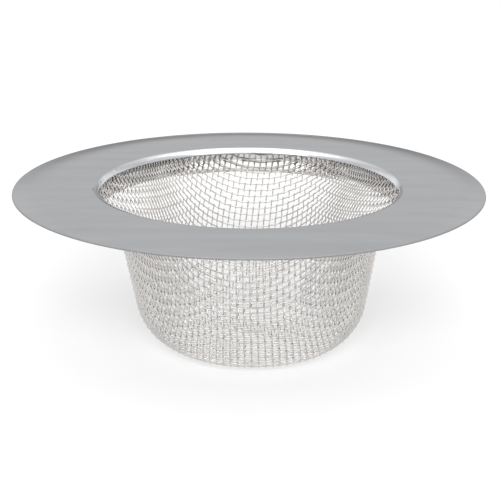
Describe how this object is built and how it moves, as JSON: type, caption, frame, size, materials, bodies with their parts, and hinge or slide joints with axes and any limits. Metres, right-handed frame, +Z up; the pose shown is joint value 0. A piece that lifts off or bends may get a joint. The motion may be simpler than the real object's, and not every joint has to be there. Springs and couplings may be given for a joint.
{
  "type": "sink strainer",
  "caption": "Drop-in kitchen sink strainer: wide pressed steel rim with a rounded lip, deep round wire-cloth basket hung inside it, held by a clamp ring under the rim.",
  "frame": {"origin": "centre of the basket's flat underside, the face that the strainer stands on", "axes": "+Z up along the strainer's axis towards the rim; +X and +Y along the two directions of the cloth's wires"},
  "size_m": [0.1142, 0.1142, 0.041],
  "materials": {
    "rim_steel": "satin rolled stainless sheet",
    "wire": "bright drawn stainless wire, plain woven",
    "ring_steel": "satin rolled stainless sheet"
  },
  "bodies": {
    "root": {"rim": "rim_steel", "mesh_basket": "wire", "clamp_ring": "ring_steel"}
  },
  "joints": []
}
